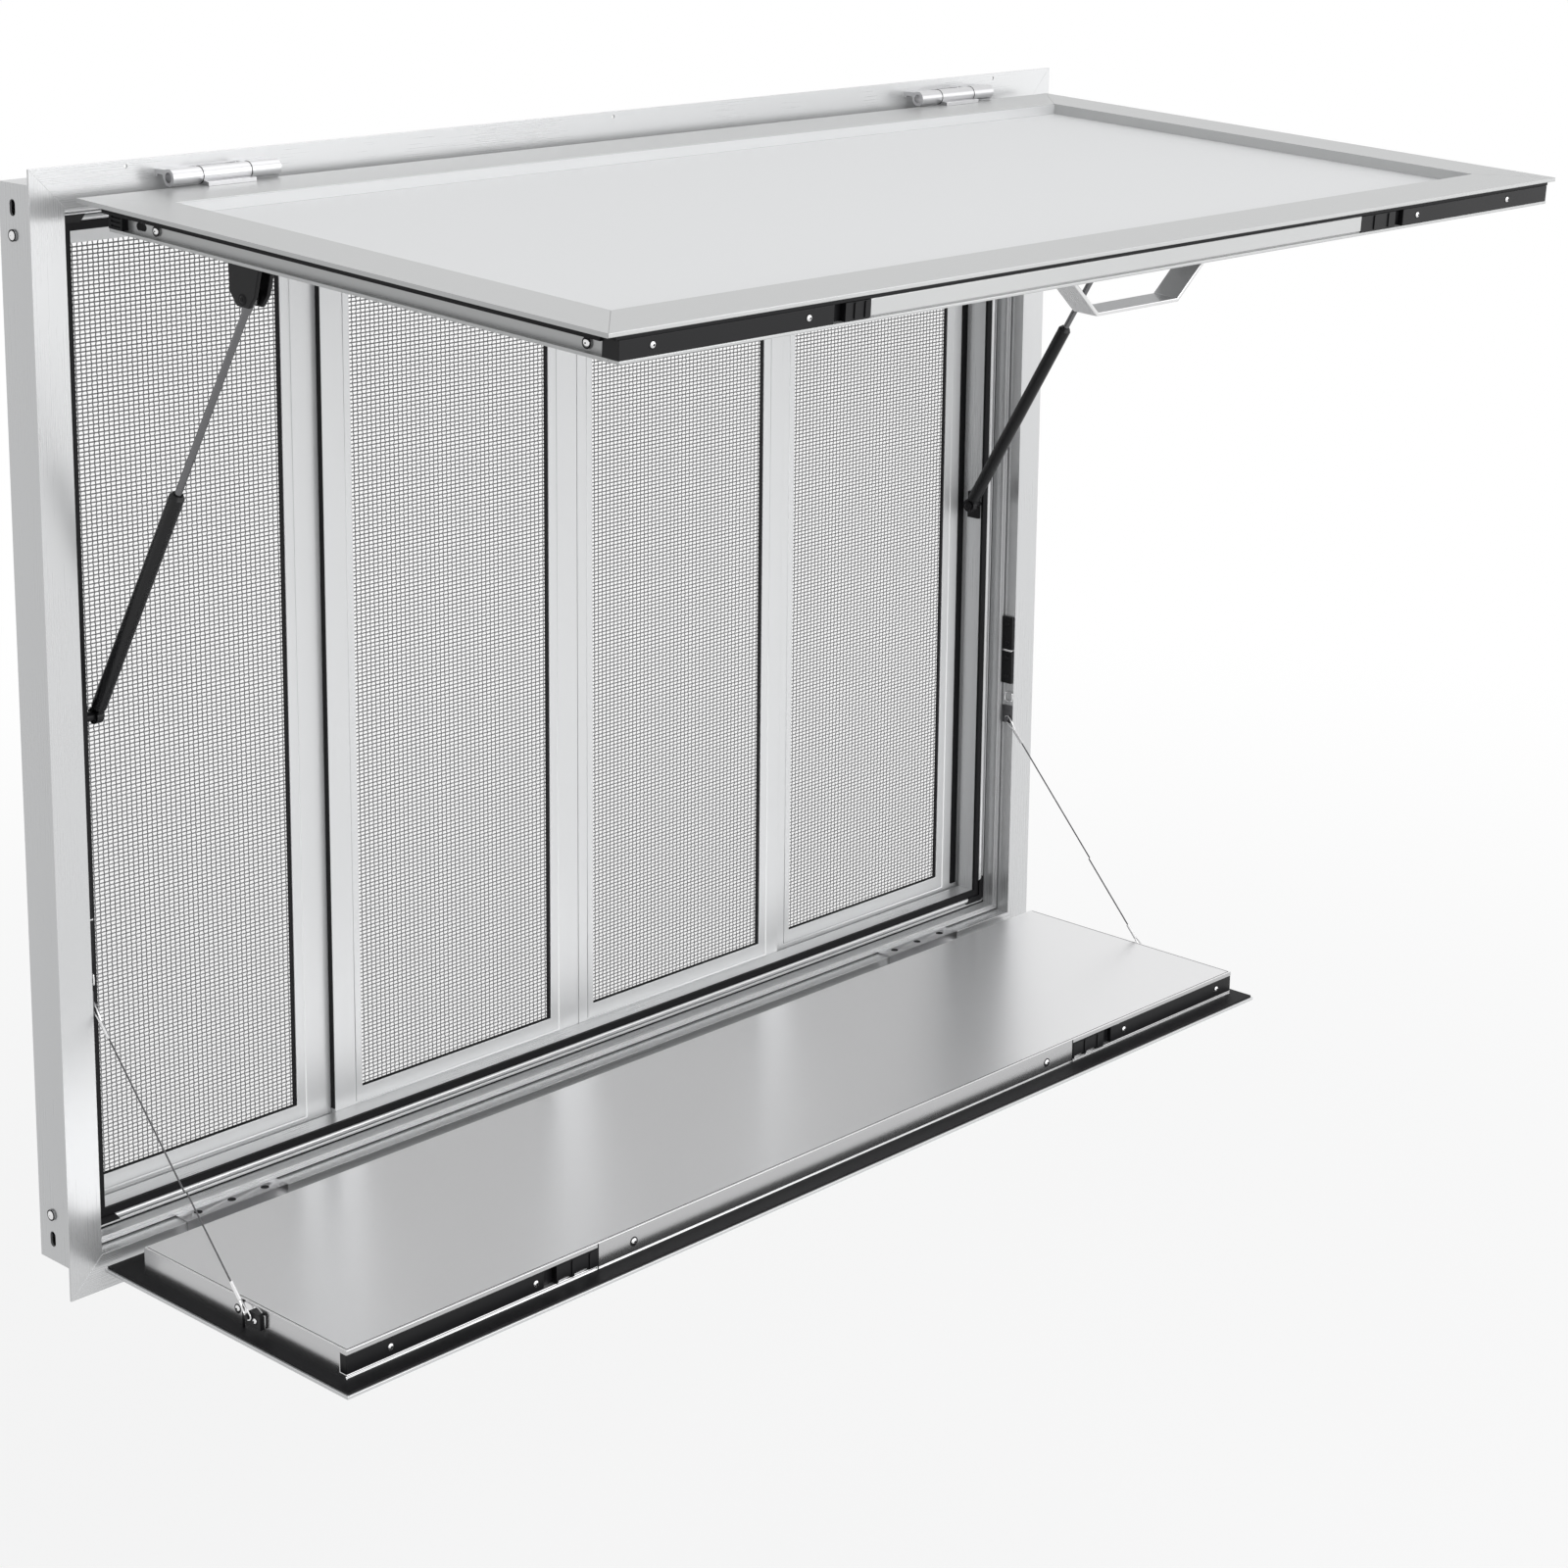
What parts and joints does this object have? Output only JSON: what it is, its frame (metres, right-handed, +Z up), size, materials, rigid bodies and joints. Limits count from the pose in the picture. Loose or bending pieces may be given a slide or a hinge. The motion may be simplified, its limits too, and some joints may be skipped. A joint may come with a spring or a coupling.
{
  "type": "concession window",
  "caption": "Serving window with a wall frame, insect screens, a hinged awning on gas struts and a fold-down shelf on wire stays.",
  "frame": {"origin": "middle of the bottom flange's back face, where it lies on the wall", "axes": "+X along the wall to the right seen from outside, +Y into the wall, +Z up; the awning and shelf open towards -Y"},
  "size_m": [1.25, 0.6773, 0.943],
  "materials": {
    "satin_aluminium": "satin anodised",
    "hinge_aluminium": "extruded, satin",
    "awning_sheet": "pale grey, satin",
    "shelf_steel": "brushed stainless",
    "black_rubber": "matt",
    "black_plastic": "moulded, matt",
    "screen_wire": "grey coated mesh",
    "strut_black": "black, satin",
    "strut_rod_steel": "polished rod",
    "stay_steel": "wire rope and ferrules",
    "handle_steel": "polished strap"
  },
  "bodies": {
    "frame": {"left_jamb": "satin_aluminium", "right_jamb": "satin_aluminium", "head": "satin_aluminium", "sill": "satin_aluminium", "frame_seal": "black_rubber", "left_keeper": "black_plastic", "right_keeper": "black_plastic", "screen_frame_1": "satin_aluminium", "screen_frame_2": "satin_aluminium", "screen_frame_3": "satin_aluminium", "screen_frame_4": "satin_aluminium", "screen_mesh_1": "screen_wire", "screen_mesh_2": "screen_wire", "screen_mesh_3": "screen_wire", "screen_mesh_4": "screen_wire", "top_hinge_wall_leaf_left": "hinge_aluminium", "top_hinge_wall_leaf_right": "hinge_aluminium", "shelf_hinge_wall_leaf_left": "hinge_aluminium", "shelf_hinge_wall_leaf_right": "hinge_aluminium", "strut_base_left": "black_plastic", "strut_base_right": "black_plastic", "stay_bracket_left": "stay_steel", "stay_bracket_right": "stay_steel"},
    "awning": {"awning_back_rail": "satin_aluminium", "awning_front_rail": "satin_aluminium", "awning_left_rail": "satin_aluminium", "awning_right_rail": "satin_aluminium", "awning_panel": "awning_sheet", "awning_gasket": "black_rubber", "awning_latch_bar_left": "black_plastic", "awning_latch_bar_right": "black_plastic", "pull_handle": "handle_steel", "strut_fork_left": "black_plastic", "strut_fork_right": "black_plastic", "top_hinge_awning_leaf_left": "hinge_aluminium", "top_hinge_awning_leaf_right": "hinge_aluminium"},
    "shelf": {"shelf_skin": "satin_aluminium", "shelf_gasket": "black_rubber", "shelf_box": "shelf_steel", "shelf_latch_bar_left": "black_plastic", "shelf_latch_bar_right": "black_plastic", "stay_catch_left": "black_plastic", "stay_catch_right": "black_plastic", "shelf_hinge_shelf_leaf_left": "hinge_aluminium", "shelf_hinge_shelf_leaf_right": "hinge_aluminium"},
    "strut_cylinder_left_body": {"strut_cylinder_left": "strut_black"},
    "strut_rod_left_body": {"strut_rod_left": "strut_rod_steel"},
    "stay_upper_left_body": {"stay_upper_left": "stay_steel"},
    "stay_lower_left_body": {"stay_lower_left": "stay_steel"},
    "awning_slider_left_body": {"awning_latch_slider_left": "black_plastic"},
    "shelf_slider_left_body": {"shelf_latch_slider_left": "black_plastic"},
    "strut_cylinder_right_body": {"strut_cylinder_right": "strut_black"},
    "strut_rod_right_body": {"strut_rod_right": "strut_rod_steel"},
    "stay_upper_right_body": {"stay_upper_right": "stay_steel"},
    "stay_lower_right_body": {"stay_lower_right": "stay_steel"},
    "awning_slider_right_body": {"awning_latch_slider_right": "black_plastic"},
    "shelf_slider_right_body": {"shelf_latch_slider_right": "black_plastic"}
  },
  "joints": [
    {"name": "awning_hinge", "type": "hinge", "parent": "frame", "child": "awning", "pos_m": [0, -0.0195, 0.92], "axis": [1, 0, 0], "range_deg": [0, 87]},
    {"name": "shelf_hinge", "type": "hinge", "parent": "frame", "child": "shelf", "pos_m": [0, -0.01625, 0.00675], "axis": [-1, 0, 0], "range_deg": [0, 90]},
    {"name": "strut_pivot_left", "type": "hinge", "parent": "frame", "child": "strut_cylinder_left_body", "pos_m": [-0.556, 0.033, 0.477], "axis": [1, 0, 0], "range_deg": [-32.72, 0]},
    {"name": "strut_rod_slide_left", "type": "slide", "parent": "strut_cylinder_left_body", "child": "strut_rod_left_body", "axis": [0, -0.5074, 0.8617], "range_m": [-0.1588, 0]},
    {"name": "stay_upper_pivot_left", "type": "hinge", "parent": "frame", "child": "stay_upper_left_body", "pos_m": [-0.59, 0.003, 0.242], "axis": [1, 0, 0], "range_deg": [0, 42.65]},
    {"name": "stay_lower_pivot_left", "type": "hinge", "parent": "shelf", "child": "stay_lower_left_body", "pos_m": [-0.5865, -0.19, 0.031], "axis": [-1, 0, 0], "range_deg": [0, 47.75]},
    {"name": "awning_slider_left_slide", "type": "slide", "parent": "awning", "child": "awning_slider_left_body", "axis": [-1, 0, 0], "range_m": [0, 0.006]},
    {"name": "shelf_slider_left_slide", "type": "slide", "parent": "shelf", "child": "shelf_slider_left_body", "axis": [-1, 0, 0], "range_m": [0, 0.006]},
    {"name": "strut_pivot_right", "type": "hinge", "parent": "frame", "child": "strut_cylinder_right_body", "pos_m": [0.556, 0.033, 0.477], "axis": [1, 0, 0], "range_deg": [-32.72, 0]},
    {"name": "strut_rod_slide_right", "type": "slide", "parent": "strut_cylinder_right_body", "child": "strut_rod_right_body", "axis": [0, -0.5074, 0.8617], "range_m": [-0.1588, 0]},
    {"name": "stay_upper_pivot_right", "type": "hinge", "parent": "frame", "child": "stay_upper_right_body", "pos_m": [0.59, 0.003, 0.242], "axis": [1, 0, 0], "range_deg": [0, 42.65]},
    {"name": "stay_lower_pivot_right", "type": "hinge", "parent": "shelf", "child": "stay_lower_right_body", "pos_m": [0.5865, -0.19, 0.031], "axis": [-1, 0, 0], "range_deg": [0, 47.75]},
    {"name": "awning_slider_right_slide", "type": "slide", "parent": "awning", "child": "awning_slider_right_body", "axis": [1, 0, 0], "range_m": [0, 0.006]},
    {"name": "shelf_slider_right_slide", "type": "slide", "parent": "shelf", "child": "shelf_slider_right_body", "axis": [1, 0, 0], "range_m": [0, 0.006]}
  ],
  "couplings": [
    {"joint": "strut_pivot_left", "follows": "awning_hinge", "ratio": -0.37383},
    {"joint": "strut_rod_slide_left", "follows": "awning_hinge", "m_per_rad": -0.10438},
    {"joint": "stay_upper_pivot_left", "follows": "shelf_hinge", "ratio": 0.47165},
    {"joint": "stay_lower_pivot_left", "follows": "shelf_hinge", "ratio": 0.52835},
    {"joint": "strut_pivot_right", "follows": "awning_hinge", "ratio": -0.37383},
    {"joint": "strut_rod_slide_right", "follows": "awning_hinge", "m_per_rad": -0.10438},
    {"joint": "stay_upper_pivot_right", "follows": "shelf_hinge", "ratio": 0.47165},
    {"joint": "stay_lower_pivot_right", "follows": "shelf_hinge", "ratio": 0.52835}
  ]
}
